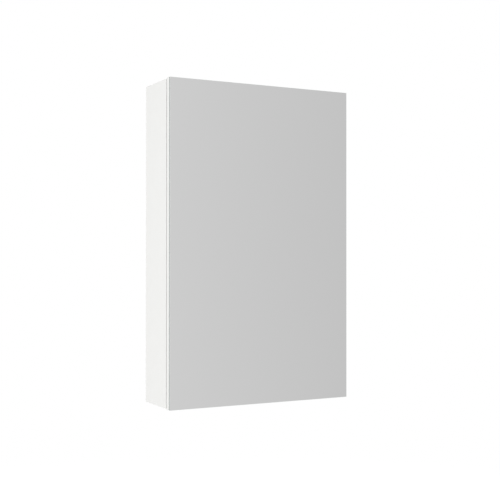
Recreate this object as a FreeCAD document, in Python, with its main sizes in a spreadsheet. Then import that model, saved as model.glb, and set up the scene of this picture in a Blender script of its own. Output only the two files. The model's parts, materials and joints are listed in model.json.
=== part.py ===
import FreeCAD, Part
import math
import os
from types import SimpleNamespace

import Sketcher
from FreeCAD import Placement, Rotation, Vector

# Bathroom mirror cabinet: a white carcass on two wall rails, with one mirror door.
# Millimetres. +Z is up, the mirror faces -Y and the wall is the plane y = 0.
# The origin is the middle of the back, which is also the middle of the four wall screws.

DIMENSIONS = [
    ("cabinet_width", 400, "outer width of carcass and door"),
    ("carcass_height", 633, "height of the side panels"),
    ("carcass_depth", 104, "wall to the front of the carcass"),
    ("carcass_board", 16, "thickness of sides, top and bottom"),
    ("board_arris", 0.4, "eased edges of sides, top, bottom, their bands and the wall rails"),
    ("front_band", 1, "edge band on the carcass front"),
    ("band_play", 0.1, "hairline between two bands at a corner"),
    ("back_thickness", 3, "thickness of the back panel"),
    ("groove_depth", 6, "depth of the grooves that hold the back panel"),
    ("groove_play", 0.2, "play of the back panel across its groove"),
    ("groove_end_play", 0.5, "play of the back panel at the bottom of its groove"),
    ("rail_thickness", 12, "wall rails, which fill the space behind the back panel"),
    ("rail_height", 60, "height of a wall rail"),
    ("wall_screw_inset", 34, "wall screws from the side panels"),
    ("wall_screw_hole", 5.5, "diameter of the wall screw holes"),
    ("door_overhang", 1, "door past the carcass at the top and at the bottom"),
    ("door_gap", 2.5, "gap between carcass and door"),
    ("door_board_thickness", 12, "board behind the mirror"),
    ("door_band", 2, "edge band round the door board"),
    ("band_flat", 0.2, "flat left on the band's rounded rear edge"),
    ("mirror_thickness", 4, "mirror glass"),
    ("mirror_arris", 0.5, "ground edge of the mirror glass"),
    ("drill_skin", 4.5, "side panel left behind dowels and bolts"),
    ("hole_end_play", 0.5, "space past the end of a dowel, bolt, pin or screw"),
    ("dowel_diameter", 8, "corner dowels"),
    ("dowel_length", 30, "corner dowels"),
    ("dowel_from_wall", 34, "wall to the corner dowels"),
    ("rail_dowel_diameter", 6, "rail dowels"),
    ("rail_dowel_length", 24, "rail dowels"),
    ("rail_dowel_spacing", 36, "two dowels at each rail end"),
    ("cam_diameter", 15, "bore of a cam lock"),
    ("cam_floor", 3, "panel left under a cam lock"),
    ("cam_setback", 24, "end of the panel to the middle of the cam"),
    ("cam_from_front", 28, "carcass front to the cams and their bolts"),
    ("cam_play", 0.1, "cam and cap in their bore, all round"),
    ("bolt_thread_diameter", 5, "thread of a cam bolt in the side panel"),
    ("bolt_diameter", 6, "shank and head of a cam bolt"),
    ("bolt_neck_diameter", 3.4, "neck that the cam grips"),
    ("bolt_neck_length", 4, "neck that the cam grips"),
    ("bolt_head_length", 4, "head inside the cam"),
    ("bolt_play", 0.4, "bolt in its hole and in the cam, all round"),
    ("cap_plug", 1, "cap inside the cam's bore"),
    ("cap_flange", 0.8, "cap on the panel's face"),
    ("cap_overlap", 1, "cap past the bore's edge"),
    ("shelf_thickness", 5, "glass shelf"),
    ("shelf_setback", 12, "glass shelf behind the carcass front"),
    ("shelf_side_play", 1, "shelf to side panel"),
    ("shelf_rear_play", 1, "shelf to back panel"),
    ("shelf_arris", 0.4, "ground edge of a shelf"),
    ("upper_shelf_level", 100, "underside of the upper shelf above the middle"),
    ("lower_shelf_level", -104, "underside of the lower shelf above the middle"),
    ("pin_diameter", 5, "shelf pins and their holes"),
    ("pin_in_side", 8, "shelf pin in the side panel"),
    ("pin_pitch", 32, "step of the shelf pin holes"),
    ("pin_from_front", 37, "carcass front to the front row of holes and to the hinge screws"),
    ("pin_from_back", 20, "back panel to the rear row of holes"),
    ("pin_collar", 1.2, "collar on the side panel"),
    ("pin_seat_length", 9, "flat seat under the shelf"),
    ("pin_seat_width", 8, "flat seat under the shelf"),
    ("pin_seat_height", 5, "flat seat under the shelf"),
    ("pad_diameter", 6, "soft pad on the seat"),
    ("pad_height", 1, "soft pad on the seat"),
    ("hinge_from_end", 90, "carcass end to the middle of a hinge"),
    ("hinge_pin_diameter", 2.5, "hinge pin"),
    ("hinge_pin_play", 0.05, "arm's eye on the pin, all round"),
    ("eye_diameter", 4.2, "outside of the arm's eye"),
    ("eye_floor_play", 0.6, "eye to the cup's floor"),
    ("eye_side_play", 0.3, "eye to the cup's wall"),
    ("swing_play", 0.4, "door's rear edge to the carcass as it swings past"),
    ("cup_diameter", 35, "bore of a hinge cup in the door"),
    ("cup_skin", 1.8, "door board left under a cup"),
    ("cup_wall", 0.7, "sheet of the cup"),
    ("cup_play", 0.1, "cup in its bore, all round"),
    ("cup_flange", 0.8, "flange on the door's rear face"),
    ("cup_rim", 0.8, "flange past the bore's edge, all round"),
    ("cup_flange_width", 14, "flange across"),
    ("cup_flange_height", 54, "flange, upper to lower end"),
    ("cup_screw_spacing", 45, "screws in the flange"),
    ("cup_screw_offset", 9.5, "screws from the cup's middle, away from the edge"),
    ("lug_thickness", 3, "lugs in the cup that hold the pin"),
    ("lug_play", 0.5, "arm to lug"),
    ("arm_sheet", 2, "sheet of the arm"),
    ("arm_height", 14, "arm inside the cabinet"),
    ("arm_neck_height", 9, "arm inside the cup"),
    ("arm_flange", 6, "folded edges of the arm"),
    ("arm_flange_sheet", 1.5, "folded edges of the arm"),
    ("arm_length", 54, "arm inside the cabinet"),
    ("arm_from_front", 2, "full height of the arm starts behind the carcass front"),
    ("leaf_offset", 0.3, "arm's leaf behind the pin's middle"),
    ("plate_thickness", 3, "hinge plate on the side panel"),
    ("plate_height", 16, "hinge plate under the arm"),
    ("plate_length", 44, "hinge plate, front to rear"),
    ("plate_from_front", 10, "hinge plate behind the carcass front"),
    ("plate_wing_height", 48, "wings with the screws"),
    ("plate_wing_width", 12, "wings with the screws"),
    ("plate_screw_spacing", 32, "screws in the wings"),
    ("clamp_screw_from_front", 44, "arm's clamp screw"),
    ("adjusting_screw_from_front", 20, "arm's adjusting screw"),
    ("arm_screw_head", 7.6, "clamp and adjusting screws"),
    ("arm_screw_head_height", 3, "clamp and adjusting screws"),
    ("arm_screw_shank", 4.5, "clamp and adjusting screws"),
    ("wood_screw_head", 7, "screws in the boards"),
    ("wood_screw_head_height", 1.6, "screws in the boards"),
    ("wood_screw_shank", 3.5, "screws in the boards"),
    ("side_screw_length", 10, "screws into the side panels, under the head"),
    ("door_screw_length", 9, "screws into the door board, under the head"),
    ("recess_width", 0.9, "cross recess"),
    ("recess_length", 4, "cross recess"),
    ("recess_depth", 1, "cross recess"),
    ("latch_level", 0, "latch above the middle of the cabinet"),
    ("latch_axis", 10, "plunger from the side panel"),
    ("latch_width", 20, "housing off the side panel"),
    ("latch_height", 16, "housing"),
    ("latch_length", 60, "housing, front to rear"),
    ("latch_from_front", 3, "housing behind the carcass front"),
    ("latch_guide_length", 12, "front wall that guides the plunger"),
    ("latch_travel", 12, "plunger springs out by this much"),
    ("latch_stop_play", 0.3, "collar to the guide at full travel"),
    ("latch_foot", 3, "foot with the screws"),
    ("latch_foot_height", 36, "foot with the screws"),
    ("latch_foot_length", 16, "foot with the screws"),
    ("latch_screw_spacing", 26, "screws in the foot"),
    ("latch_cap_plug", 4, "end cap in the chamber"),
    ("latch_cap_plate", 1.5, "end cap on the housing"),
    ("plunger_diameter", 8, "plunger"),
    ("plunger_play", 0.3, "plunger in its guide, all round"),
    ("collar_step", 1.2, "plunger's collar past the plunger, all round"),
    ("collar_length", 4, "plunger's collar"),
    ("collar_play", 0.4, "collar in the chamber, all round"),
    ("magnet_diameter", 9, "magnet on the plunger's tip"),
    ("magnet_thickness", 3, "magnet on the plunger's tip"),
    ("magnet_play", 0.3, "magnet to strike plate"),
    ("spring_wire", 0.8, "latch spring"),
    ("spring_turns", 10, "latch spring"),
    ("spring_side_play", 1.2, "spring in the chamber, all round"),
    ("spring_end_play", 0.2, "spring at each end"),
    ("strike_width", 17, "strike plate on the door"),
    ("strike_height", 30, "strike plate on the door"),
    ("strike_thickness", 1, "strike plate on the door"),
    ("strike_screw_spacing", 21, "strike plate screws"),
]


class Size:
    """A length that knows its number and the sheet expression that it comes from."""

    def __init__(self, text, value):
        self.text = text
        self.value = value

    def __add__(self, other):
        other = as_size(other)
        return Size(f"({self.text} + {other.text})", self.value + other.value)

    def __sub__(self, other):
        other = as_size(other)
        return Size(f"({self.text} - {other.text})", self.value - other.value)

    def __mul__(self, other):
        other = as_size(other)
        return Size(f"({self.text} * {other.text})", self.value * other.value)

    def __truediv__(self, other):
        other = as_size(other)
        return Size(f"({self.text} / {other.text})", self.value / other.value)

    def __rmul__(self, other):
        return as_size(other) * self

    def __neg__(self):
        return as_size(0) - self


def as_size(number):
    return number if isinstance(number, Size) else Size(repr(number), number)


def third_side(longest, other):
    """Remaining side of a right triangle."""
    square = longest * longest - other * other
    return Size(f"sqrt({square.text})", math.sqrt(square.value))


document = FreeCAD.newDocument("mirror_cabinet")
sheet = document.addObject("Spreadsheet::Sheet", "Sizes")
size = SimpleNamespace()
for row, (alias, number, meaning) in enumerate(DIMENSIONS, start=1):
    sheet.set(f"A{row}", alias)
    sheet.set(f"B{row}", str(number))
    sheet.set(f"C{row}", meaning)
    sheet.setAlias(f"B{row}", alias)
    setattr(size, alias, Size(f"Sizes.{alias}", number))
document.recompute()

SIDES = (("left", -1), ("right", 1))
ENDS = (("upper", 1), ("lower", -1))
PAIR = (-1, 1)

# Carcass planes
half_width = size.cabinet_width / 2
half_height = size.carcass_height / 2
inner_x = half_width - size.carcass_board
inner_z = half_height - size.carcass_board
panel_middle = half_height - size.carcass_board / 2
carcass_front = -size.carcass_depth
board_front = carcass_front + size.front_band
back_rear = -size.rail_thickness
back_front = back_rear - size.back_thickness
groove_front = back_front - size.groove_play
rail_middle = inner_z - size.rail_height / 2
rail_axis = back_rear / 2
wall_screw_x = inner_x - size.wall_screw_inset
in_side = size.carcass_board - size.drill_skin - size.hole_end_play
dowel_y = -size.dowel_from_wall
cam_y = carcass_front + size.cam_from_front
cam_height = size.carcass_board - size.cap_plug - size.cam_floor

# Shelf planes
shelf_rear = back_front - size.shelf_rear_play
shelf_front = carcass_front + size.shelf_setback
front_row = carcass_front + size.pin_from_front
rear_row = back_front - size.pin_from_back
shelf_levels = {"upper": size.upper_shelf_level, "lower": size.lower_shelf_level}
pin_drop = size.pad_height + size.pin_seat_height / 2
PIN_STEPS = 2

# Door planes
door_rear = carcass_front - size.door_gap
mirror_rear = door_rear - size.door_board_thickness
half_door = half_height + size.door_overhang
band_round = size.door_band - size.band_flat

# Hinge axis: as deep in the cup as the eye allows, and as far from the door's edge
# as lets the rounded rear edge swing past the carcass.
hinge_levels = {name: end * (half_height - size.hinge_from_end) for name, end in ENDS}
cup_depth = size.door_board_thickness - size.cup_skin
pivot_depth = cup_depth - size.cup_wall - size.eye_diameter / 2 - size.eye_floor_play
swing_reach = pivot_depth + size.door_gap - size.swing_play - band_round
pivot_inset = band_round + third_side(swing_reach, pivot_depth - band_round)
pivot_x = half_width - pivot_inset
pivot_y = door_rear - pivot_depth
cup_outside = size.cup_diameter - 2 * size.cup_play
cup_inside = cup_outside - 2 * size.cup_wall
cup_reach = third_side(cup_inside / 2, size.arm_neck_height / 2)
cup_x = pivot_x + size.eye_diameter / 2 + size.eye_side_play - cup_reach
cup_floor = door_rear - cup_depth
cup_screw_x = cup_x - size.cup_screw_offset
half_neck = size.arm_neck_height / 2
half_pin = half_neck + size.lug_play + size.lug_thickness
plate_x = inner_x - size.plate_thickness
arm_x = plate_x - size.arm_sheet
clamp_y = carcass_front + size.clamp_screw_from_front
adjusting_y = carcass_front + size.adjusting_screw_from_front

# Latch planes
latch_x = -inner_x + size.latch_axis
latch_front = carcass_front + size.latch_from_front
latch_rear = latch_front + size.latch_length
latch_middle = latch_front + size.latch_length / 2
guide_rear = latch_front + size.latch_guide_length
strike_face = door_rear + size.strike_thickness
magnet_front = strike_face + size.magnet_play
plunger_front = magnet_front + size.magnet_thickness
collar_front = guide_rear + size.latch_travel + size.latch_stop_play
collar_rear = collar_front + size.collar_length
cap_front = latch_rear - size.latch_cap_plug
collar_diameter = size.plunger_diameter + 2 * size.collar_step
chamber_diameter = collar_diameter + 2 * size.collar_play

subparts = []


def bind(thing, path, amount):
    thing.setExpression(path, as_size(amount).text)


def place(thing, x, y, z):
    bind(thing, "Placement.Base.x", x)
    bind(thing, "Placement.Base.y", y)
    bind(thing, "Placement.Base.z", z)


def keep(label, thing):
    """Make a finished shape one of the sub-parts."""
    thing.Label = label
    subparts.append(thing)
    return thing


# Plain shapes

TURN = {
    "+x": Rotation(Vector(0, 1, 0), 90),
    "-x": Rotation(Vector(0, 1, 0), -90),
    "+y": Rotation(Vector(1, 0, 0), -90),
    "-y": Rotation(Vector(1, 0, 0), 90),
    "+z": Rotation(),
    "-z": Rotation(Vector(1, 0, 0), 180),
}


def outward(axis, sign):
    return f"+{axis}" if sign > 0 else f"-{axis}"


def inward(axis, sign):
    return outward(axis, -sign)


def span(sign, near, far):
    """Two ends in rising order, mirrored for a negative sign."""
    return (near, far) if sign > 0 else (-far, -near)


def around(middle, width):
    """Two ends of a width about its middle."""
    return (middle - width / 2, middle + width / 2)


def block(x, y, z):
    """Box between the two ends given on each axis."""
    box = document.addObject("Part::Box", "Block")
    for side, ends in (("Length", x), ("Width", y), ("Height", z)):
        bind(box, side, as_size(ends[1]) - ends[0])
    place(box, x[0], y[0], z[0])
    return box


def rod(start, way, length, diameter):
    """Round bar from its start point along one axis."""
    bar = document.addObject("Part::Cylinder", "Rod")
    bar.Placement = Placement(Vector(), TURN[way])
    bind(bar, "Radius", diameter / 2)
    bind(bar, "Height", length)
    place(bar, *start)
    return bar


def ball(x, y, z, radius):
    sphere = document.addObject("Part::Sphere", "Ball")
    bind(sphere, "Radius", radius)
    place(sphere, x, y, z)
    return sphere


def round_strip(middle, axis, thickness, length, width):
    """Upright strip with round ends, as thick as given along x or y from its middle point."""
    x, y, z = middle
    straight = around(z, length - width)
    if axis == "x":
        bar = block((x, x + thickness), around(y, width), straight)
    else:
        bar = block(around(x, width), (y, y + thickness), straight)
    return fuse([bar] + [rod((x, y, end), f"+{axis}", thickness, width) for end in straight])


def fuse(shapes):
    joined = document.addObject("Part::MultiFuse", "Fused")
    joined.Shapes = shapes
    return joined


def common(base, tool):
    shared = document.addObject("Part::Common", "Common")
    shared.Base = base
    shared.Tool = tool
    return shared


def cut(base, tools):
    result = document.addObject("Part::Cut", "Cut")
    result.Base = base
    result.Tool = tools[0] if len(tools) == 1 else fuse(tools)
    return result


def copy_of(master, way, x, y, z):
    """The same piece again, turned from +Z to another axis."""
    link = document.addObject("App::Link", "Copy")
    link.LinkedObject = master
    link.LinkTransform = False
    link.Placement = Placement(Vector(), TURN[way])
    place(link, x, y, z)
    return link


def group(label, shapes):
    """Several loose solids of one kind in one sub-part."""
    together = document.addObject("Part::Compound", "Group")
    together.Links = shapes
    return keep(label, together)


# Bodies drawn in sketches

NEAR = Part.Precision.confusion()


def new_body(label, x, y, z):
    body = document.addObject("PartDesign::Body", label)
    place(body, x, y, z)
    return keep(label, body)


def new_sketch(body, role, offset=0):
    sketch = body.newObject("Sketcher::SketchObject", "Sketch")
    plane = next(item for item in body.Origin.OriginFeatures if item.Role == role)
    sketch.AttachmentSupport = (plane, [""])
    sketch.MapMode = "FlatFace"
    bind(sketch, "AttachmentOffset.Base.z", offset)
    return sketch


def dimension(sketch, kind, elements, amount):
    """Driving dimension, bound to the sheet."""
    index = sketch.addConstraint(Sketcher.Constraint(kind, *elements, amount.value))
    name = f"dimension_{index}"
    sketch.renameConstraint(index, name)
    bind(sketch, f"Constraints.{name}", amount)


def rectangle(sketch, across, up):
    """Rectangle between the two ends given on each sketch axis."""
    left, right = (as_size(end) for end in across)
    low, high = (as_size(end) for end in up)
    corners = [
        Vector(left.value, low.value, 0),
        Vector(right.value, low.value, 0),
        Vector(right.value, high.value, 0),
        Vector(left.value, high.value, 0),
    ]
    lines = [
        sketch.addGeometry(Part.LineSegment(corner, corners[(step + 1) % 4]))
        for step, corner in enumerate(corners)
    ]
    for step, line in enumerate(lines):
        sketch.addConstraint(Sketcher.Constraint("Coincident", line, 2, lines[(step + 1) % 4], 1))
        sketch.addConstraint(Sketcher.Constraint("Vertical" if step % 2 else "Horizontal", line))
    dimension(sketch, "DistanceX", (-1, 1, lines[0], 1), left)
    dimension(sketch, "DistanceX", (-1, 1, lines[0], 2), right)
    dimension(sketch, "DistanceY", (-1, 1, lines[0], 1), low)
    dimension(sketch, "DistanceY", (-1, 1, lines[2], 1), high)


def circle(sketch, across, up, diameter):
    centre = Vector(across.value, up.value, 0)
    ring = sketch.addGeometry(Part.Circle(centre, Vector(0, 0, 1), diameter.value / 2))
    dimension(sketch, "DistanceX", (-1, 1, ring, 3), across)
    dimension(sketch, "DistanceY", (-1, 1, ring, 3), up)
    dimension(sketch, "Diameter", (ring,), diameter)


def pad(body, sketch, length):
    feature = body.newObject("PartDesign::Pad", "Pad")
    feature.Profile = sketch
    bind(feature, "Length", length)
    return feature


def pocket(body, sketch, depth, along_normal):
    """Cut along the sketch's normal or against it; a pocket that cuts nothing is a fault."""
    document.recompute()
    volume_before = body.Shape.Volume
    feature = body.newObject("PartDesign::Pocket", "Pocket")
    feature.Profile = sketch
    feature.Reversed = along_normal
    bind(feature, "Length", depth)
    document.recompute()
    if body.Shape.Volume >= volume_before:
        raise RuntimeError(f"{body.Label}: a pocket cuts nothing")
    return feature


def ease_edges(body, amount, square_face=None):
    """Chamfer the edges, apart from those round the front or rear face where that stays square."""
    document.recompute()
    base = body.Tip
    box = base.Shape.BoundBox
    square_plane = {"front": box.YMin, "rear": box.YMax}.get(square_face)
    eased = [
        f"Edge{number}" for number, edge in enumerate(base.Shape.Edges, start=1)
        if square_plane is None or abs(edge.CenterOfMass.y - square_plane) > NEAR
    ]
    chamfer = body.newObject("PartDesign::Chamfer", "Arris")
    chamfer.Base = (base, eased)
    bind(chamfer, "Size", amount)


def eased_board(x, y, z, square_face=None):
    """Board between the two ends given on each axis, with its edges eased."""
    body = document.addObject("PartDesign::Body", "Board")
    place(body, x[0], y[0], z[0])
    outline = new_sketch(body, "XY_Plane")
    rectangle(outline, (0, as_size(x[1]) - x[0]), (0, as_size(y[1]) - y[0]))
    pad(body, outline, as_size(z[1]) - z[0])
    ease_edges(body, size.board_arris, square_face)
    return body


# Screws: head above z = 0, shank below it

def cross_recess(x, y, bottom, top):
    """Two crossed slots about an upright axis."""
    long, wide = size.recess_length, size.recess_width
    return [
        block(around(x, long), around(y, wide), (bottom, top)),
        block(around(x, wide), around(y, long), (bottom, top)),
    ]


def screw(head_diameter, head_height, shank_diameter, length):
    """Domed head with a cross recess, and a plain shank; the dome's radius is the head's diameter."""
    origin = (0, 0, 0)
    dome = ball(0, 0, head_height - head_diameter, head_diameter)
    bare = fuse([
        common(rod(origin, "+z", head_height, head_diameter), dome),
        rod(origin, "-z", length, shank_diameter),
    ])
    axis = as_size(0)
    return cut(bare, cross_recess(axis, axis, head_height - size.recess_depth, head_height))


def wood_screw(length):
    return screw(size.wood_screw_head, size.wood_screw_head_height, size.wood_screw_shank, length)


# Carcass panels

def side_panel(label, sign):
    """Board drawn on its YZ plane and drilled from its inner face."""
    depth = size.carcass_depth - size.front_band
    body = new_body(label, span(sign, inner_x, half_width)[0], 0, 0)
    outline = new_sketch(body, "YZ_Plane")
    rectangle(outline, (-depth, 0), (-half_height, half_height))
    pad(body, outline, size.carcass_board)
    ease_edges(body, size.board_arris, square_face="front")
    inner_face = 0 if sign > 0 else size.carcass_board
    along_normal = sign > 0

    def drill(holes, depth_of_holes):
        sketch = new_sketch(body, "YZ_Plane", inner_face)
        for y, z, diameter in holes:
            circle(sketch, y, z, diameter)
        return sketch, pocket(body, sketch, depth_of_holes, along_normal)

    groove = new_sketch(body, "YZ_Plane", inner_face)
    groove_end = inner_z + size.groove_depth
    rectangle(groove, (groove_front, back_rear), (-groove_end, groove_end))
    pocket(body, groove, size.groove_depth, along_normal)

    corner_holes = []
    for _, end in ENDS:
        corner_holes.append((dowel_y, end * panel_middle, size.dowel_diameter))
        corner_holes.append((cam_y, end * panel_middle, size.bolt_thread_diameter))
        for step in PAIR:
            level = end * rail_middle + step * size.rail_dowel_spacing / 2
            corner_holes.append((rail_axis, level, size.rail_dowel_diameter))
    drill(corner_holes, in_side + size.hole_end_play)

    for level in shelf_levels.values():
        lowest = level - pin_drop - PIN_STEPS * size.pin_pitch
        pin_holes = [(row, lowest, size.pin_diameter) for row in (front_row, rear_row)]
        sketch, lowest_pair = drill(pin_holes, size.pin_in_side + size.hole_end_play)
        rows = body.newObject("PartDesign::LinearPattern", "PinRows")
        rows.Originals = [lowest_pair]
        rows.Direction = (sketch, ["V_Axis"])
        rows.Occurrences = 2 * PIN_STEPS + 1
        bind(rows, "Length", 2 * PIN_STEPS * size.pin_pitch)
        body.Tip = rows

    if sign > 0:
        fixing_y, clamped, spacing = front_row, size.plate_thickness, size.plate_screw_spacing
        fixing_levels = hinge_levels.values()
    else:
        fixing_y, clamped, spacing = latch_middle, size.latch_foot, size.latch_screw_spacing
        fixing_levels = [size.latch_level]
    fixing_holes = [
        (fixing_y, level + step * spacing / 2, size.wood_screw_shank)
        for level in fixing_levels for step in PAIR
    ]
    drill(fixing_holes, size.side_screw_length - clamped + size.hole_end_play)


def end_panel(label, end):
    """Top or bottom panel between the sides; its cams are let in from the outer face."""
    across = (-inner_x, inner_x)
    panel = eased_board(across, (board_front, 0), span(end, inner_z, half_height), square_face="front")
    groove = span(end, inner_z, inner_z + size.groove_depth)
    tools = [block(across, (groove_front, back_rear), groove)]
    level = end * panel_middle
    dowel_depth = size.dowel_length - in_side + size.hole_end_play
    bolt_hole = size.bolt_diameter + 2 * size.bolt_play
    for _, sign in SIDES:
        way = inward("x", sign)
        cam_x = sign * (inner_x - size.cam_setback)
        tools.append(rod((sign * inner_x, dowel_y, level), way, dowel_depth, size.dowel_diameter))
        tools.append(rod((sign * inner_x, cam_y, level), way, size.cam_setback, bolt_hole))
        tools.append(rod((cam_x, cam_y, end * half_height), inward("z", end),
                         cam_height + size.cap_plug, size.cam_diameter))
    keep(label, cut(panel, tools))


def back_panel():
    """Held in the grooves all round and drilled with the rails for the wall screws."""
    reach = size.groove_depth - size.groove_end_play
    body = new_body("back_panel", 0, back_rear, 0)
    outline = new_sketch(body, "XZ_Plane")
    rectangle(outline, (-inner_x - reach, inner_x + reach), (-inner_z - reach, inner_z + reach))
    pad(body, outline, size.back_thickness)
    holes = new_sketch(body, "XZ_Plane")
    for _, sign in SIDES:
        for _, end in ENDS:
            circle(holes, sign * wall_screw_x, end * rail_middle, size.wall_screw_hole)
    pocket(body, holes, size.back_thickness, along_normal=True)


def wall_rail(label, end):
    middle = end * rail_middle
    bar = eased_board((-inner_x, inner_x), (back_rear, 0), around(middle, size.rail_height))
    dowel_depth = size.rail_dowel_length - in_side + size.hole_end_play
    tools = []
    for _, sign in SIDES:
        tools.append(rod((sign * wall_screw_x, back_rear, middle), "+y", size.rail_thickness,
                         size.wall_screw_hole))
        for level in around(middle, size.rail_dowel_spacing):
            tools.append(rod((sign * inner_x, rail_axis, level), inward("x", sign), dowel_depth,
                             size.rail_dowel_diameter))
    keep(label, cut(bar, tools))


def front_edge_bands():
    """Upright bands on the sides, and level ones between them on the top and bottom panels."""
    depth = (carcass_front, board_front)
    upright = (-half_height, half_height)
    level_end = inner_x - size.band_play
    bands = []
    for _, sign in SIDES:
        bands.append(eased_board(span(sign, inner_x, half_width), depth, upright, square_face="rear"))
    for _, end in ENDS:
        bands.append(eased_board((-level_end, level_end), depth, span(end, inner_z, half_height),
                                 square_face="rear"))
    group("front_edge_bands", bands)


# Carcass fasteners

def cam_bolt(sign, level):
    """Thread in the side panel, shank in the end panel, neck and head in the cam."""
    shank = size.cam_setback - size.bolt_neck_length - size.bolt_head_length / 2
    neck_end = shank + size.bolt_neck_length
    way = inward("x", sign)
    return fuse([
        rod((sign * inner_x, cam_y, level), outward("x", sign), in_side, size.bolt_thread_diameter),
        rod((sign * inner_x, cam_y, level), way, shank, size.bolt_diameter),
        rod((sign * (inner_x - shank), cam_y, level), way, size.bolt_neck_length, size.bolt_neck_diameter),
        rod((sign * (inner_x - neck_end), cam_y, level), way, size.bolt_head_length, size.bolt_diameter),
    ])


def cam_lock(sign, end):
    """Drum with a slot for the bolt's head and a cross recess under the cap."""
    diameter = size.cam_diameter - 2 * size.cam_play
    middle = inner_x - size.cam_setback
    top = half_height - size.cap_plug
    drum = rod((sign * middle, cam_y, end * top), inward("z", end), cam_height, diameter)
    slot = size.bolt_diameter + 2 * size.bolt_play
    slot_inner = middle - size.bolt_head_length / 2 - size.bolt_play
    tools = [block(span(sign, slot_inner, middle + diameter), around(cam_y, slot),
                   around(end * panel_middle, slot))]
    tools += cross_recess(sign * middle, cam_y, *span(end, top - size.recess_depth, top))
    return cut(drum, tools)


def cam_cap(sign, end):
    face = (sign * (inner_x - size.cam_setback), cam_y, end * half_height)
    return fuse([
        rod(face, outward("z", end), size.cap_flange, size.cam_diameter + 2 * size.cap_overlap),
        rod(face, inward("z", end), size.cap_plug, size.cam_diameter - 2 * size.cam_play),
    ])


def corner_fasteners():
    """A dowel and a cam lock with its bolt and cap at each corner, and two dowels at each rail end."""
    corners = [(sign, end) for _, sign in SIDES for _, end in ENDS]
    dowels = []
    rail_dowels = []
    for sign, end in corners:
        start_x = sign * (inner_x + in_side)
        way = inward("x", sign)
        dowels.append(rod((start_x, dowel_y, end * panel_middle), way, size.dowel_length,
                          size.dowel_diameter))
        for level in around(end * rail_middle, size.rail_dowel_spacing):
            rail_dowels.append(rod((start_x, rail_axis, level), way, size.rail_dowel_length,
                                   size.rail_dowel_diameter))
    group("corner_dowels", dowels)
    group("rail_dowels", rail_dowels)
    group("cam_bolts", [cam_bolt(sign, end * panel_middle) for sign, end in corners])
    group("cam_locks", [cam_lock(sign, end) for sign, end in corners])
    group("cam_caps", [cam_cap(sign, end) for sign, end in corners])


# Shelves

def glass_shelf(label, level):
    half_shelf = inner_x - size.shelf_side_play
    body = new_body(label, 0, 0, level)
    outline = new_sketch(body, "XY_Plane")
    rectangle(outline, (-half_shelf, half_shelf), (shelf_front, shelf_rear))
    pad(body, outline, size.shelf_thickness)
    ease_edges(body, size.shelf_arris)


def shelf_supports():
    """Four pins with soft pads under each shelf."""
    collar_diameter_of_pin = size.pin_seat_height + size.pad_height
    seat_far = inner_x - size.pin_collar
    seat_near = seat_far - size.pin_seat_length
    pins = []
    pads = []
    for _, sign in SIDES:
        for level in shelf_levels.values():
            axis = level - pin_drop
            for row in (front_row, rear_row):
                wall = (sign * inner_x, row, axis)
                pins.append(fuse([
                    rod(wall, outward("x", sign), size.pin_in_side, size.pin_diameter),
                    rod(wall, inward("x", sign), size.pin_collar, collar_diameter_of_pin),
                    block(span(sign, seat_near, seat_far), around(row, size.pin_seat_width),
                          around(axis, size.pin_seat_height)),
                ]))
                seat_middle = sign * (seat_near + size.pin_seat_length / 2)
                pads.append(rod((seat_middle, row, level - size.pad_height), "+z", size.pad_height,
                                size.pad_diameter))
    group("shelf_pins", pins)
    group("shelf_pads", pads)


# Door

def door_board():
    """Board drawn on its rear face, with bores for the hinge cups and holes for the screws."""
    width = half_width - size.door_band
    height = half_door - size.door_band
    body = new_body("door_board", 0, door_rear, 0)
    outline = new_sketch(body, "XZ_Plane")
    rectangle(outline, (-width, width), (-height, height))
    pad(body, outline, size.door_board_thickness)

    cups = new_sketch(body, "XZ_Plane")
    cup_screws = new_sketch(body, "XZ_Plane")
    for level in hinge_levels.values():
        circle(cups, cup_x, level, size.cup_diameter)
        for screw_level in around(level, size.cup_screw_spacing):
            circle(cup_screws, cup_screw_x, screw_level, size.wood_screw_shank)
    strike_screws = new_sketch(body, "XZ_Plane")
    for screw_level in around(size.latch_level, size.strike_screw_spacing):
        circle(strike_screws, latch_x, screw_level, size.wood_screw_shank)
    screw_room = size.door_screw_length + size.hole_end_play
    pocket(body, cups, cup_depth + size.cup_play, along_normal=True)
    pocket(body, cup_screws, screw_room - size.cup_flange, along_normal=True)
    pocket(body, strike_screws, screw_room - size.strike_thickness, along_normal=True)


def door_edge_band():
    """Band round the board; its rounded rear edge swings clear of the carcass."""
    body = new_body("door_edge_band", 0, door_rear, 0)
    outline = new_sketch(body, "XZ_Plane")
    for inset in (0, size.door_band):
        width = half_width - inset
        height = half_door - inset
        rectangle(outline, (-width, width), (-height, height))
    ring = pad(body, outline, size.door_board_thickness)
    document.recompute()
    box = ring.Shape.BoundBox
    outer_rear_edges = []
    for number, edge in enumerate(ring.Shape.Edges, start=1):
        middle = edge.CenterOfMass
        at_rear = abs(middle.y - box.YMax) < NEAR
        outside = abs(middle.x) > box.XMax - NEAR or abs(middle.z) > box.ZMax - NEAR
        if at_rear and outside:
            outer_rear_edges.append(f"Edge{number}")
    rounding = body.newObject("PartDesign::Fillet", "RearRounding")
    rounding.Base = (ring, outer_rear_edges)
    bind(rounding, "Radius", band_round)


def mirror_glass():
    body = new_body("mirror_glass", 0, mirror_rear, 0)
    outline = new_sketch(body, "XZ_Plane")
    rectangle(outline, (-half_width, half_width), (-half_door, half_door))
    pad(body, outline, size.mirror_thickness)
    ease_edges(body, size.mirror_arris)


# Hinges

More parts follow.
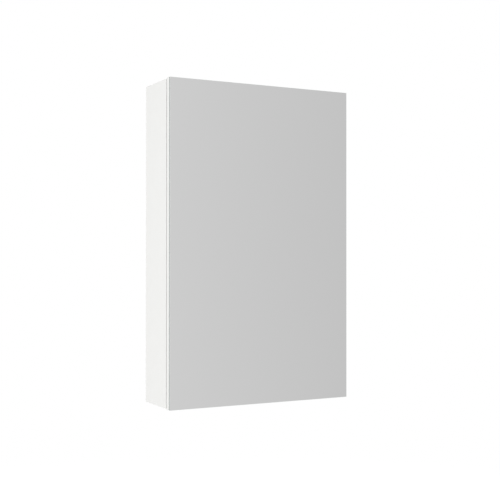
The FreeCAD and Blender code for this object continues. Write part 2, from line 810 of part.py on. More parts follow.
def hinge_plate(label, level):
    """Plate on the right side panel, with an upper and a lower wing for its screws."""
    start = carcass_front + size.plate_from_front
    plate = fuse([
        block((plate_x, inner_x), (start, start + size.plate_length), around(level, size.plate_height)),
        round_strip((plate_x, front_row, level), "x", size.plate_thickness, size.plate_wing_height,
                    size.plate_wing_width),
    ])
    holes = []
    for screw_level in around(level, size.plate_screw_spacing):
        holes.append(rod((plate_x, front_row, screw_level), "+x", size.plate_thickness,
                         size.wood_screw_shank))
    for y in (clamp_y, adjusting_y):
        holes.append(rod((plate_x, y, level), "+x", size.plate_thickness, size.arm_screw_shank))
    keep(label, cut(plate, holes))


def hinge_arm(label, level):
    """Cranked arm: along the plate, through the cup's mouth and sideways to an eye on the pin."""
    base_front = carcass_front + size.arm_from_front
    base = (base_front, base_front + size.arm_length)
    leaf_rear = pivot_y + size.leaf_offset
    leaf_front = leaf_rear - size.arm_sheet
    sheet_x = (arm_x, plate_x)
    neck_z = around(level, size.arm_neck_height)
    eye_start = (pivot_x, pivot_y, level - half_neck)
    pieces = [
        block(sheet_x, base, around(level, size.arm_height)),
        block(sheet_x, (leaf_front, base_front), neck_z),
        block((arm_x, pivot_x), (leaf_front, leaf_rear), neck_z),
        rod(eye_start, "+z", size.arm_neck_height, size.eye_diameter),
    ]
    for flange_middle in around(level, size.arm_height - size.arm_flange_sheet):
        pieces.append(block((arm_x - size.arm_flange, arm_x), base,
                            around(flange_middle, size.arm_flange_sheet)))
    eye_bore = size.hinge_pin_diameter + 2 * size.hinge_pin_play
    holes = [rod(eye_start, "+z", size.arm_neck_height, eye_bore)]
    for y in (clamp_y, adjusting_y):
        holes.append(rod((arm_x, y, level), "+x", size.arm_sheet, size.arm_screw_shank))
    keep(label, cut(fuse(pieces), holes))


def hinge_cup(label, level):
    """Round cup let into the door, with a rim, a flange for two screws and two lugs that hold the pin."""
    flange_rear = door_rear + size.cup_flange
    inside_floor = cup_floor + size.cup_wall
    outer = rod((cup_x, cup_floor, level), "+y", flange_rear - cup_floor, cup_outside)
    rim = rod((cup_x, door_rear, level), "+y", size.cup_flange, size.cup_diameter + 2 * size.cup_rim)
    flange = round_strip((cup_screw_x, door_rear, level), "y", size.cup_flange, size.cup_flange_height,
                         size.cup_flange_width)
    inside = rod((cup_x, inside_floor, level), "+y", flange_rear - inside_floor, cup_inside)
    lug_x = (pivot_x - size.eye_diameter / 2, cup_x + cup_outside / 2)
    lug_y = (cup_floor, pivot_y + size.eye_diameter / 2)
    lug_middle = half_pin - size.lug_thickness / 2
    lugs = fuse([
        block(lug_x, lug_y, around(middle, size.lug_thickness))
        for middle in around(level, 2 * lug_middle)
    ])
    holes = [rod((pivot_x, pivot_y, level - half_pin), "+z", 2 * half_pin, size.hinge_pin_diameter)]
    for screw_level in around(level, size.cup_screw_spacing):
        holes.append(rod((cup_screw_x, door_rear, screw_level), "+y", size.cup_flange,
                         size.wood_screw_shank))
    shell = cut(fuse([outer, rim, flange]), [inside])
    keep(label, cut(fuse([shell, common(lugs, outer)]), holes))


def hinge_fasteners():
    side_screw = wood_screw(size.side_screw_length)
    door_screw = wood_screw(size.door_screw_length)
    arm_screw = screw(size.arm_screw_head, size.arm_screw_head_height, size.arm_screw_shank,
                      size.arm_sheet + size.plate_thickness)
    plate_screws = []
    cup_screws = []
    pins = []
    for level in hinge_levels.values():
        for screw_level in around(level, size.plate_screw_spacing):
            plate_screws.append(copy_of(side_screw, "-x", plate_x, front_row, screw_level))
        for screw_level in around(level, size.cup_screw_spacing):
            cup_screws.append(copy_of(door_screw, "+y", cup_screw_x, door_rear + size.cup_flange,
                                      screw_level))
        pins.append(rod((pivot_x, pivot_y, level - half_pin), "+z", 2 * half_pin,
                        size.hinge_pin_diameter))
    group("hinge_plate_screws", plate_screws)
    group("hinge_cup_screws", cup_screws)
    group("hinge_pins", pins)
    for label, y in (("arm_clamp_screws", clamp_y), ("arm_adjusting_screws", adjusting_y)):
        group(label, [copy_of(arm_screw, "-x", arm_x, y, level) for level in hinge_levels.values()])


# Push latch

def latch_section(start, end):
    """Length of the housing's section: flat on the side panel, round towards the middle of the cabinet."""
    level = size.latch_level
    round_x = -inner_x + size.latch_width - size.latch_height / 2
    return fuse([
        block((-inner_x, round_x), (start, end), around(level, size.latch_height)),
        rod((round_x, start, level), "+y", end - start, size.latch_height),
    ])


def latch_housing():
    """Case with a guide bore, a spring chamber open to the rear and a foot for two screws."""
    level = size.latch_level
    shell = fuse([
        latch_section(latch_front, latch_rear),
        round_strip((-inner_x, latch_middle, level), "x", size.latch_foot, size.latch_foot_height,
                    size.latch_foot_length),
    ])
    tools = [
        rod((latch_x, latch_front, level), "+y", size.latch_guide_length,
            size.plunger_diameter + 2 * size.plunger_play),
        rod((latch_x, guide_rear, level), "+y", latch_rear - guide_rear, chamber_diameter),
    ]
    for screw_level in around(level, size.latch_screw_spacing):
        tools.append(rod((-inner_x, latch_middle, screw_level), "+x", size.latch_foot,
                         size.wood_screw_shank))
    keep("latch_housing", cut(shell, tools))


def latch_end_cap():
    level = size.latch_level
    keep("latch_end_cap", fuse([
        rod((latch_x, cap_front, level), "+y", size.latch_cap_plug, chamber_diameter),
        latch_section(latch_rear, latch_rear + size.latch_cap_plate),
    ]))


def latch_plunger():
    level = size.latch_level
    keep("latch_plunger", fuse([
        rod((latch_x, plunger_front, level), "+y", collar_rear - plunger_front, size.plunger_diameter),
        rod((latch_x, collar_front, level), "+y", size.collar_length, collar_diameter),
    ]))
    keep("latch_magnet",
         rod((latch_x, magnet_front, level), "+y", size.magnet_thickness, size.magnet_diameter))


def latch_spring():
    """Compression spring between the plunger's collar and the end cap."""
    end_room = size.spring_end_play + size.spring_wire
    length = cap_front - collar_rear - 2 * end_room
    coil_radius = chamber_diameter / 2 - size.spring_side_play - size.spring_wire / 2
    helix = document.addObject("Part::Helix", "Helix")
    bind(helix, "Radius", coil_radius)
    bind(helix, "Height", length)
    bind(helix, "Pitch", length / size.spring_turns)
    wire = document.addObject("Part::Circle", "Wire")
    wire.Placement = Placement(Vector(), TURN["-y"])
    bind(wire, "Radius", size.spring_wire / 2)
    place(wire, coil_radius, 0, 0)
    spring = document.addObject("Part::Sweep", "Spring")
    spring.Sections = [wire]
    spring.Spine = (helix, [])
    spring.Solid = True
    spring.Frenet = True
    spring.Placement = Placement(Vector(), TURN["+y"])
    place(spring, latch_x, collar_rear + end_room, size.latch_level)
    keep("latch_spring", spring)


def latch_fixings():
    """Screws of the housing's foot, and the strike plate on the door with its screws."""
    side_screw = wood_screw(size.side_screw_length)
    door_screw = wood_screw(size.door_screw_length)
    level = size.latch_level
    group("latch_screws", [
        copy_of(side_screw, "+x", -inner_x + size.latch_foot, latch_middle, screw_level)
        for screw_level in around(level, size.latch_screw_spacing)
    ])
    strike_levels = around(level, size.strike_screw_spacing)
    plate = round_strip((latch_x, door_rear, level), "y", size.strike_thickness, size.strike_height,
                        size.strike_width)
    holes = [
        rod((latch_x, door_rear, screw_level), "+y", size.strike_thickness, size.wood_screw_shank)
        for screw_level in strike_levels
    ]
    keep("strike_plate", cut(plate, holes))
    group("strike_screws", [
        copy_of(door_screw, "+y", latch_x, strike_face, screw_level) for screw_level in strike_levels
    ])


for side, side_sign in SIDES:
    side_panel(f"{side}_side", side_sign)
end_panel("top_panel", 1)
end_panel("bottom_panel", -1)
back_panel()
front_edge_bands()
corner_fasteners()
for end_name, end_sign in ENDS:
    wall_rail(f"{end_name}_rail", end_sign)
    glass_shelf(f"{end_name}_shelf", shelf_levels[end_name])
    hinge_plate(f"{end_name}_hinge_plate", hinge_levels[end_name])
    hinge_arm(f"{end_name}_hinge_arm", hinge_levels[end_name])
    hinge_cup(f"{end_name}_hinge_cup", hinge_levels[end_name])
shelf_supports()
hinge_fasteners()
door_board()
door_edge_band()
mirror_glass()
latch_housing()
latch_end_cap()
latch_plunger()
latch_spring()
latch_fixings()

document.recompute()
for item in document.Objects:
    if "Invalid" in item.State or "Error" in item.State:
        raise RuntimeError(f"{item.Label} failed: {item.State}")
for item in subparts:
    if item.Shape.isNull() or not item.Shape.isValid() or not item.Shape.Solids:
        raise RuntimeError(f"{item.Label} has no valid solid")

os.makedirs("parts", exist_ok=True)
for item in subparts:
    item.Shape.exportStep(f"parts/{item.Label}.step")
    print(item.Label, len(item.Shape.Solids), round(item.Shape.Volume, 1))
print("hinge axis at x, y:", round(pivot_x.value, 4), round(pivot_y.value, 4))
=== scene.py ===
import json
import math

import bmesh
import bpy
from mathutils import Matrix, Vector


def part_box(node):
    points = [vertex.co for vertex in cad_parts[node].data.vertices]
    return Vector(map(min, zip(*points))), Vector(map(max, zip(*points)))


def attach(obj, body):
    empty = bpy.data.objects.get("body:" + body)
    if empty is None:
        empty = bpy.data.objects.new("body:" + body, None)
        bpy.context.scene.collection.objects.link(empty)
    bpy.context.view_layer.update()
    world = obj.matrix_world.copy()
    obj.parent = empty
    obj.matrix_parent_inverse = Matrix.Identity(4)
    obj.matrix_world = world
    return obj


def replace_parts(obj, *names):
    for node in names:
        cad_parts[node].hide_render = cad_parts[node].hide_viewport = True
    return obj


# Bathroom mirror cabinet: white carcass, glass shelves and one plain mirror door.
# Metres, in the frame of the solids: +Z up, the mirror faces -Y, the wall is y = 0.

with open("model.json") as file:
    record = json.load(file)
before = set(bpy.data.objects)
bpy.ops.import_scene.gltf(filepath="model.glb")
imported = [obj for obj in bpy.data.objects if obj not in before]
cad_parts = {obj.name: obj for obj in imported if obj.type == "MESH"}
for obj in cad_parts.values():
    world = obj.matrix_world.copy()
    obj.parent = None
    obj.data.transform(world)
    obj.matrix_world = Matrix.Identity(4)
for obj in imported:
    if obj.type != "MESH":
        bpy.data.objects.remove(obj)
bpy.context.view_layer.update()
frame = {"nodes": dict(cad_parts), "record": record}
nodes = frame["nodes"]
scene = bpy.context.scene

MILLIMETRE = 0.001


# Node helpers

def add(tree, kind, inputs=None, **settings):
    """New shader node; an input that is another node's socket is linked, any other is set."""
    node = tree.nodes.new(kind)
    for key, value in settings.items():
        setattr(node, key, value)
    for key, value in (inputs or {}).items():
        if isinstance(value, bpy.types.NodeSocket):
            tree.links.new(value, node.inputs[key])
        else:
            node.inputs[key].default_value = value
    return node


def new_material(name, constants):
    """Material with one Principled shader and the given constants on its sockets."""
    material = bpy.data.materials.new(name)
    material.use_nodes = True
    tree = material.node_tree
    shader = tree.nodes["Principled BSDF"]
    for key, value in constants.items():
        shader.inputs[key].default_value = value
    return material, tree, shader


def connect(tree, shader, sources):
    """Link each source to the shader's socket of that name."""
    for key, source in sources.items():
        tree.links.new(source, shader.inputs[key])


def place_of(tree, stretch=(1, 1, 1)):
    """Position on the piece at rest, scaled along its axes: under 1 draws a pattern out."""
    coordinates = add(tree, "ShaderNodeTexCoord")
    mapping = add(tree, "ShaderNodeMapping", {"Vector": coordinates.outputs["Object"], "Scale": stretch})
    return mapping.outputs["Vector"]


def noise(tree, place, scale, detail=3.0, roughness=0.5):
    """Cloudy pattern of values about 0.5."""
    node = add(tree, "ShaderNodeTexNoise",
               {"Vector": place, "Scale": scale, "Detail": detail, "Roughness": roughness})
    return node.outputs["Fac"]


def between(tree, value, low, high, from_low=0.3, from_high=0.7, course="LINEAR"):
    """Value brought from one range to another, and held at its ends."""
    node = add(tree, "ShaderNodeMapRange", {
        "Value": value, "From Min": from_low, "From Max": from_high, "To Min": low, "To Max": high,
    }, interpolation_type=course)
    return node.outputs["Result"]


def ramp(tree, value, *stops):
    """Colour that goes from stop to stop as the value rises."""
    node = add(tree, "ShaderNodeValToRGB", {"Fac": value})
    elements = node.color_ramp.elements
    while len(elements) < len(stops):
        elements.new(0.5)
    for element, (position, colour) in zip(elements, stops):
        element.position = position
        element.color = (*colour, 1)
    return node.outputs["Color"]


def bump(tree, value, depth, strength=1.0):
    """Normal of a surface with a relief of that depth."""
    node = add(tree, "ShaderNodeBump", {"Height": value, "Distance": depth, "Strength": strength})
    return node.outputs["Normal"]


def math_node(tree, operation, first, second=0.0, third=0.0):
    """Result of an operation on up to three numbers."""
    node = add(tree, "ShaderNodeMath", {0: first, 1: second, 2: third}, operation=operation)
    return node.outputs["Value"]


def mix_colour(tree, factor, first, second):
    """Between two colours, which a Mix node takes on sockets 6 and 7 and gives on output 2."""
    node = add(tree, "ShaderNodeMix", {0: factor, 6: first, 7: second}, data_type="RGBA")
    return node.outputs[2]


def mix_value(tree, factor, first, second):
    """Between two numbers, which a Mix node takes on sockets 2 and 3 and gives on output 0."""
    node = add(tree, "ShaderNodeMix", {0: factor, 2: first, 3: second}, data_type="FLOAT")
    return node.outputs[0]


def axes_of(tree, vector):
    """The X, Y and Z of a vector."""
    return add(tree, "ShaderNodeSeparateXYZ", {"Vector": vector}).outputs


# Materials, the scales of whose patterns are in features per metre: first boards and dowels

WHITE_FACE = (0.806, 0.806, 0.792)
WHITE_SHADE = (0.798, 0.798, 0.783)
FOIL_GRAIN = 1800
FOIL_THICKNESS = 0.04 * MILLIMETRE


def white_foil(tree, place):
    """Colour and fine grain of a white melamine or foil face."""
    clouds = noise(tree, place, scale=35)
    colour = ramp(tree, clouds, (0.35, WHITE_SHADE), (0.65, WHITE_FACE))
    return colour, noise(tree, place, FOIL_GRAIN, detail=2.0)


FLAKE_STRETCH = 0.3
FLAKE_BEND = 1.2 * MILLIMETRE
LARGE_FLAKES = 620
SMALL_FLAKES = 1700
CHIP_DARK = (0.30, 0.185, 0.095)
CHIP_BROWN = (0.50, 0.345, 0.20)
CHIP_TAN = (0.60, 0.44, 0.275)
CHIP_PALE = (0.72, 0.57, 0.39)
PORE_BROWN = (0.12, 0.07, 0.035, 1)


def flakes(tree, place, scale):
    """Random tone of each flake."""
    cells = add(tree, "ShaderNodeTexVoronoi", {"Vector": place, "Scale": scale, "Randomness": 1.0})
    return add(tree, "ShaderNodeSeparateColor", {"Color": cells.outputs["Color"]}).outputs["Red"]


def chipboard(tree, low, high):
    """Pressed wood flakes in the plane of the board, with patches of smaller ones and pores."""
    extent = high - low
    thin_axis = min(range(3), key=lambda axis: extent[axis])
    stretch = [FLAKE_STRETCH] * 3
    stretch[thin_axis] = 1.0
    place = place_of(tree, stretch)
    drift = add(tree, "ShaderNodeTexNoise", {"Vector": place, "Scale": 420.0, "Detail": 3.0})
    bent = add(tree, "ShaderNodeVectorMath", {0: drift.outputs["Color"], 1: (FLAKE_BEND,) * 3, 2: place},
               operation="MULTIPLY_ADD").outputs["Vector"]
    patches = between(tree, noise(tree, place, scale=300), low=0.0, high=1.0, from_low=0.45, from_high=0.55)
    tone = mix_value(tree, patches, flakes(tree, bent, LARGE_FLAKES), flakes(tree, bent, SMALL_FLAKES))
    mixed = mix_value(tree, 0.35, tone, noise(tree, place, scale=900, detail=4.0))
    wood = ramp(tree, mixed, (0.15, CHIP_DARK), (0.45, CHIP_BROWN), (0.65, CHIP_TAN), (0.9, CHIP_PALE))
    hollows = noise(tree, bent, scale=1300, detail=2.0)
    pores = between(tree, hollows, low=1.0, high=0.0, from_low=0.28, from_high=0.36)
    return mix_colour(tree, pores, wood, PORE_BROWN)


# Depth under a board's outline that still counts as its faces, so that its eased edges are white
SKIN = 0.5 * MILLIMETRE


def cut_mask(tree, low, high, raw_sides):
    """One inside the board's outline, as on walls of holes and grooves, and on its raw sides."""
    coordinates = add(tree, "ShaderNodeTexCoord")
    axes = axes_of(tree, coordinates.outputs["Object"])
    inside = 1.0
    for index, letter in enumerate("XYZ"):
        for side, edge, operation in (("-", low[index] + SKIN, "GREATER_THAN"),
                                      ("+", high[index] - SKIN, "LESS_THAN")):
            if side + letter in raw_sides:
                continue
            within = math_node(tree, operation, axes[letter], edge)
            inside = math_node(tree, "MULTIPLY", within, inside)
    return inside


def board(node, raw_sides):
    """White-faced board; what is cut or left bare shows its chips."""
    low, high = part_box(node)
    material, tree, shader = new_material(node + "_finish", {"Specular IOR Level": 0.4})
    place = place_of(tree)
    white, grain = white_foil(tree, place)
    cut = cut_mask(tree, low, high, raw_sides)
    chips = chipboard(tree, low, high)
    satin = between(tree, noise(tree, place, scale=90), low=0.38, high=0.48)
    raw_roughness = 0.9
    relief = mix_value(tree, cut, grain, noise(tree, place, scale=900, detail=4.0))
    connect(tree, shader, {
        "Base Color": mix_colour(tree, cut, white, chips),
        "Roughness": mix_value(tree, cut, satin, raw_roughness),
        "Normal": bump(tree, relief, depth=0.02 * MILLIMETRE, strength=0.5),
    })
    return material


FIBRE_DARK = (0.20, 0.115, 0.06)
FIBRE_BROWN = (0.30, 0.18, 0.10)
FIBRE_PALE = (0.41, 0.27, 0.16)


def hardboard():
    """White on the face that shows inside, pressed brown fibre behind."""
    low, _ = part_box("back_panel")
    material, tree, shader = new_material("hardboard", {"Specular IOR Level": 0.35})
    place = place_of(tree)
    white, grain = white_foil(tree, place)
    fibre = noise(tree, place_of(tree, (1, 1, 0.5)), scale=420, detail=6.0, roughness=0.65)
    brown = ramp(tree, fibre, (0.3, FIBRE_DARK), (0.5, FIBRE_BROWN), (0.75, FIBRE_PALE))
    bare = math_node(tree, "GREATER_THAN", axes_of(tree, place)["Y"], low.y + FOIL_THICKNESS)
    white_roughness, bare_roughness = 0.45, 0.75
    relief = mix_value(tree, bare, grain, fibre)
    connect(tree, shader, {
        "Base Color": mix_colour(tree, bare, white, brown),
        "Roughness": mix_value(tree, bare, white_roughness, bare_roughness),
        "Normal": bump(tree, relief, depth=0.04 * MILLIMETRE, strength=0.5),
    })
    return material


def beech():
    """Dowel with the grain along its length."""
    material, tree, shader = new_material("beech", {"Specular IOR Level": 0.3})
    grain = noise(tree, place_of(tree, (0.08, 1, 1)), scale=900, detail=4.0)
    connect(tree, shader, {
        "Base Color": ramp(tree, grain, (0.3, (0.50, 0.31, 0.17)), (0.7, (0.70, 0.50, 0.31))),
        "Roughness": between(tree, grain, low=0.55, high=0.75),
        "Normal": bump(tree, grain, depth=0.08 * MILLIMETRE),
    })
    return material


# Metal and plastic

ALONG_Y = (1, 0.15, 1)
EVEN = (1, 1, 1)
ROUGHNESS_SPREAD = 0.05


def plastic(name, shade, face, roughness, grain=1400):
    """Moulded plastic with a fine spark-eroded grain."""
    material, tree, shader = new_material(name, {"Specular IOR Level": 0.45})
    place = place_of(tree)
    gloss = noise(tree, place, scale=220)
    relief = noise(tree, place, grain, detail=2.0)
    connect(tree, shader, {
        "Base Color": ramp(tree, noise(tree, place, scale=60), (0.3, shade), (0.7, face)),
        "Roughness": between(tree, gloss, roughness - ROUGHNESS_SPREAD, roughness + ROUGHNESS_SPREAD),
        "Normal": bump(tree, relief, depth=0.02 * MILLIMETRE, strength=0.5),
    })
    return material


def metal(name, shade, face, roughness, stretch=ALONG_Y):
    """Plated or bare metal: cloudy tone, and faint lines of rolling or drawing."""
    material, tree, shader = new_material(name, {"Metallic": 1.0})
    cloud = noise(tree, place_of(tree), scale=90, detail=2.0)
    lines = noise(tree, place_of(tree, stretch), scale=1600)
    connect(tree, shader, {
        "Base Color": ramp(tree, cloud, (0.3, shade), (0.7, face)),
        "Roughness": between(tree, lines, roughness - ROUGHNESS_SPREAD, roughness + ROUGHNESS_SPREAD),
        "Normal": bump(tree, lines, depth=0.01 * MILLIMETRE, strength=0.3),
    })
    return material


def ferrite():
    """Pressed and fired grey powder."""
    material, tree, shader = new_material("ferrite", {"Specular IOR Level": 0.4})
    speck = noise(tree, place_of(tree), scale=2600, detail=4.0)
    connect(tree, shader, {
        "Base Color": ramp(tree, speck, (0.35, (0.025, 0.025, 0.028)), (0.7, (0.075, 0.075, 0.08))),
        "Roughness": between(tree, speck, low=0.42, high=0.62),
        "Normal": bump(tree, speck, depth=0.03 * MILLIMETRE),
    })
    return material


def soft_pad():
    """Slightly cloudy soft plastic that lets some light in."""
    material, tree, shader = new_material("soft_pad", {
        "IOR": 1.45, "Subsurface Weight": 0.3, "Subsurface Scale": 0.5 * MILLIMETRE,
    })
    cloud = noise(tree, place_of(tree), scale=400)
    connect(tree, shader, {
        "Base Color": ramp(tree, cloud, (0.3, (0.74, 0.76, 0.77)), (0.7, (0.86, 0.88, 0.89))),
        "Roughness": between(tree, cloud, low=0.3, high=0.45),
    })
    return material


# Glass

GLASS_IOR = 1.52
EDGE_SPREAD = 0.06
ALONG_UPRIGHT_PANE = (0.03, 1, 0.03)
ALONG_LEVEL_PANE = (0.03, 0.03, 1)


def silvered_face():
    """Mirror: nearly perfect, with a trace of wiping haze."""
    material, tree, shader = new_material("silvered_face", {
        "Metallic": 1.0, "Base Color": (0.893, 0.893, 0.893, 1),
    })
    haze = noise(tree, place_of(tree, (1, 1, 0.35)), scale=9, detail=4.0, roughness=0.6)
    connect(tree, shader, {"Roughness": between(tree, haze, low=0.0, high=0.012)})
    return material


def mirror_paint():
    """Protective coat behind the silver."""
    material, tree, shader = new_material("mirror_paint", {"Specular IOR Level": 0.3})
    flow = noise(tree, place_of(tree), scale=120, detail=4.0)
    connect(tree, shader, {
        "Base Color": ramp(tree, flow, (0.3, (0.17, 0.19, 0.20)), (0.7, (0.24, 0.26, 0.27))),
        "Roughness": between(tree, flow, low=0.5, high=0.65),
    })
    return material


def clear_glass():
    """Shelf glass with a faint green cast and a trace of dust on its faces."""
    material, tree, shader = new_material("clear_glass", {
        "Base Color": (0.93, 0.98, 0.955, 1), "IOR": GLASS_IOR, "Transmission Weight": 1.0,
    })
    dust = noise(tree, place_of(tree), scale=60, detail=4.0)
    connect(tree, shader, {"Roughness": between(tree, dust, low=0.0, high=0.03)})
    return material


def ground_glass(name, deep, pale, roughness, stretch):
    """Edge of a pane: ground, so that it only glows a little, with faint lines along its length."""
    material, tree, shader = new_material(name, {
        "IOR": GLASS_IOR, "Coat Weight": 0.3, "Coat Roughness": 0.15,
    })
    lines = noise(tree, place_of(tree, stretch), scale=700)
    connect(tree, shader, {
        "Base Color": ramp(tree, lines, (0.3, deep), (0.7, pale)),
        "Roughness": between(tree, lines, roughness - EDGE_SPREAD, roughness + EDGE_SPREAD),
        "Normal": bump(tree, lines, depth=0.02 * MILLIMETRE, strength=0.5),
    })
    return material


# Finishes of the solids

FINISHES = {
    "back_board": hardboard(),
    "beech_dowel": beech(),
    "edge_band": plastic("edge_band", WHITE_SHADE, WHITE_FACE, roughness=0.40, grain=FOIL_GRAIN),
    "white_plastic": plastic("white_plastic", (0.83, 0.83, 0.82), (0.87, 0.87, 0.86), roughness=0.42),
    "grey_plastic": plastic("grey_plastic", (0.40, 0.41, 0.42), (0.47, 0.48, 0.49), roughness=0.40),
    "nickel_steel": metal("nickel", (0.66, 0.645, 0.62), (0.72, 0.705, 0.68), roughness=0.22),
    "zinc_steel": metal("zinc_plate", (0.55, 0.57, 0.60), (0.63, 0.65, 0.68), roughness=0.30),
    "spring_steel": metal("spring_steel", (0.36, 0.365, 0.375), (0.43, 0.435, 0.445), roughness=0.28),
    "zinc_casting": metal("zinc_casting", (0.42, 0.43, 0.45), (0.52, 0.53, 0.55), roughness=0.48,
                          stretch=EVEN),
    "soft_pad": soft_pad(),
    "ferrite": ferrite(),
}
RAW_SIDES = {
    "left_side": ("+Y",),
    "right_side": ("+Y",),
    "top_panel": ("+Y",),
    "bottom_panel": ("+Y",),
    "upper_rail": ("-Z", "+Z"),
    "lower_rail": ("-Z", "+Z"),
    "door_board": (),
}
PANE_SLOTS = {"shelf_glass", "mirror_glass"}

for row in frame["record"]["subparts"]:
    name, slot = row["node"], row["material_slot"]
    if slot in PANE_SLOTS:
        continue
    finish = board(name, RAW_SIDES[name]) if name in RAW_SIDES else FINISHES[slot]
    nodes[name].data.materials.clear()
    nodes[name].data.materials.append(finish)


# Panes of glass

def pane(name, replaced, arris, face_of, air_below=0.0):
    """Pane in a solid's place, with ground and softly rounded edges; face_of picks each face's finish."""
    low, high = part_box(replaced)
    low.z += air_below
    mesh = bpy.data.meshes.new(name)
    shape = bmesh.new()
    middle = Matrix.Translation((low + high) / 2)
    extent = Matrix.Diagonal((*(high - low), 1))
    bmesh.ops.create_cube(shape, size=1.0, matrix=middle @ extent)
    bmesh.ops.bevel(shape, geom=shape.edges[:], offset=arris, offset_type="OFFSET", segments=2, profile=0.5,
                    affect="EDGES")
    finishes = []
    for face in shape.faces:
        finish = face_of(face.normal)
        if finish not in finishes:
            finishes.append(finish)
        face.material_index = finishes.index(finish)
    shape.to_mesh(mesh)
    shape.free()
    for finish in finishes:
        mesh.materials.append(finish)
    piece = bpy.data.objects.new(name, mesh)
    scene.collection.objects.link(piece)
    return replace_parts(piece, replaced)


silver = silvered_face()
backing = mirror_paint()
mirror_edge = ground_glass("mirror_edge", (0.24, 0.265, 0.255), (0.285, 0.31, 0.30), roughness=0.30,
                           stretch=ALONG_UPRIGHT_PANE)
# The arris's pale colour is a painted highlight: the same ground glass as the edge, made lighter where
# light catches it
mirror_arris = ground_glass("mirror_arris", (0.67, 0.70, 0.69), (0.73, 0.76, 0.75), roughness=0.18,
                            stretch=ALONG_UPRIGHT_PANE)
clear = clear_glass()
shelf_edge = ground_glass("shelf_edge", (0.21, 0.42, 0.35), (0.27, 0.48, 0.41), roughness=0.22,
                          stretch=ALONG_LEVEL_PANE)

# Part of a normal along an axis from which a face counts as square to it
SQUARE = 0.99


def mirror_finish(normal):
    """Silver in front, paint behind, ground glass on the edges, and on their arrises ground glass with a
    painted highlight.
    """
    if normal.y < -SQUARE:
        return silver
    if normal.y > SQUARE:
        return backing
    return mirror_edge if abs(normal.y) < 1 - SQUARE else mirror_arris


def shelf_finish(normal):
    """Clear above and below, ground on the edges."""
    return clear if abs(normal.z) > SQUARE else shelf_edge


MIRROR_ARRIS = 0.5 * MILLIMETRE
SHELF_ARRIS = 0.4 * MILLIMETRE
# Air between a shelf and its pads, without which the pads would not show through the glass
PAD_AIR = 0.05 * MILLIMETRE

mirror = pane("mirror_pane", "mirror_glass", MIRROR_ARRIS, mirror_finish)
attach(mirror, "door")
for level in ("upper", "lower"):
    shelf = pane(f"{level}_shelf_pane", f"{level}_shelf", SHELF_ARRIS, shelf_finish, PAD_AIR)
    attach(shelf, "cabinet")


# Stage: white to the eye, greyer in front of the mirror, with a pale floor well below the cabinet

FRONT_LEVEL = 0.85
SIDE_FALL = 0.44
SIDE_SOFTNESS = 0.5
REAR_LEVEL = 0.75
REAR_BLEND = 0.3
SHOWN_LEVEL = 1.0


def camera_rays(tree):
    """One for what the camera looks at, nothing for what reflections and light meet."""
    return add(tree, "ShaderNodeLightPath").outputs["Is Camera Ray"]


def surroundings():
    """Backdrop: white where it is looked at, and greyer towards the sides as the mirror sees it."""
    world = bpy.data.worlds.new("studio")
    scene.world = world
    world.use_nodes = True
    tree = world.node_tree
    axes = axes_of(tree, add(tree, "ShaderNodeTexCoord").outputs["Generated"])
    leftward = math_node(tree, "MULTIPLY", axes["X"], -1.0)
    sideways = math_node(tree, "SMOOTH_MAX", axes["X"], leftward, SIDE_SOFTNESS)
    front = math_node(tree, "SUBTRACT", FRONT_LEVEL, math_node(tree, "MULTIPLY", sideways, SIDE_FALL))
    behind = between(tree, axes["Y"], low=0.0, high=1.0, from_low=-REAR_BLEND, from_high=REAR_BLEND,
                     course="SMOOTHSTEP")
    level = mix_value(tree, behind, front, REAR_LEVEL)
    shown = mix_value(tree, camera_rays(tree), level, SHOWN_LEVEL)
    tree.links.new(shown, tree.nodes["Background"].inputs["Color"])


FLOOR_HEIGHT = -1.05
FLOOR_RADIUS = 3.0
FLOOR_CORNERS = 96
FADE_START = 0.6


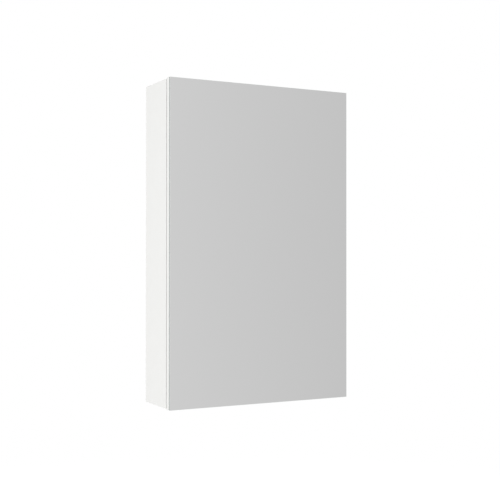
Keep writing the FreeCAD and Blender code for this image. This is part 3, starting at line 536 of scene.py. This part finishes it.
def floor():
    """Pale disc that fades out towards its rim."""
    mesh = bpy.data.meshes.new("floor")
    shape = bmesh.new()
    bmesh.ops.create_circle(shape, cap_ends=True, radius=FLOOR_RADIUS, segments=FLOOR_CORNERS,
                            matrix=Matrix.Translation((0, 0, FLOOR_HEIGHT)))
    shape.to_mesh(mesh)
    shape.free()
    material, tree, shader = new_material("pale_floor", {
        "Roughness": 0.8, "Specular IOR Level": 0.1, "Emission Color": (1, 1, 1, 1),
    })
    shade = noise(tree, place_of(tree), scale=3, detail=4.0)
    from_middle = add(tree, "ShaderNodeVectorMath", {0: place_of(tree, (1, 1, 0))}, operation="LENGTH")
    fade = between(tree, from_middle.outputs["Value"], low=1.0, high=0.0, from_low=FADE_START,
                   from_high=FLOOR_RADIUS, course="SMOOTHSTEP")
    connect(tree, shader, {
        "Base Color": ramp(tree, shade, (0.3, (0.84, 0.84, 0.84)), (0.7, (0.86, 0.86, 0.86))),
        "Emission Strength": camera_rays(tree),
        "Alpha": fade,
    })
    mesh.materials.append(material)
    ground = bpy.data.objects.new("floor", mesh)
    scene.collection.objects.link(ground)


LIGHT_PLACE = Vector((-2.8, -1.0, 0.1))
LIGHT_SIZE = 2.0
LIGHT_POWER = 42.3


def soft_light():
    """Large light at the front left, turned to the cabinet and kept out of the mirror."""
    lamp = bpy.data.lights.new("soft_light", "AREA")
    lamp.shape = "SQUARE"
    lamp.size = LIGHT_SIZE
    lamp.energy = LIGHT_POWER
    light = bpy.data.objects.new("soft_light", lamp)
    scene.collection.objects.link(light)
    facing = (-LIGHT_PLACE).to_track_quat("-Z", "Y").to_matrix().to_4x4()
    light.matrix_world = Matrix.Translation(LIGHT_PLACE) @ facing
    light.visible_camera = False
    light.visible_glossy = False


CAMERA_PLACE = (-0.92926, -1.83559, -0.02456)
CAMERA_YAW = math.radians(-27.753)
CAMERA_PITCH = math.radians(0.376)
CAMERA_ROLL = math.radians(-0.026)
LENS_LENGTH = 70.33
SENSOR_WIDTH = 36.0
VIEW_REACH = 50.0
QUARTER_TURN = math.radians(90)


def camera():
    """At the height of the cabinet's middle, to its left, as fitted to the photograph's outline."""
    lens = bpy.data.cameras.new("camera")
    lens.sensor_width = SENSOR_WIDTH
    lens.lens = LENS_LENGTH
    lens.clip_end = VIEW_REACH
    eye = bpy.data.objects.new("camera", lens)
    scene.collection.objects.link(eye)
    level_view = Matrix.Rotation(QUARTER_TURN, 4, "X")
    turn = (Matrix.Rotation(CAMERA_YAW, 4, "Z") @ Matrix.Rotation(CAMERA_PITCH, 4, "X")
            @ Matrix.Rotation(CAMERA_ROLL, 4, "Y"))
    eye.matrix_world = Matrix.Translation(CAMERA_PLACE) @ turn @ level_view
    scene.camera = eye


surroundings()
floor()
soft_light()
camera()
scene.view_settings.view_transform = "Standard"
scene.view_settings.look = "None"
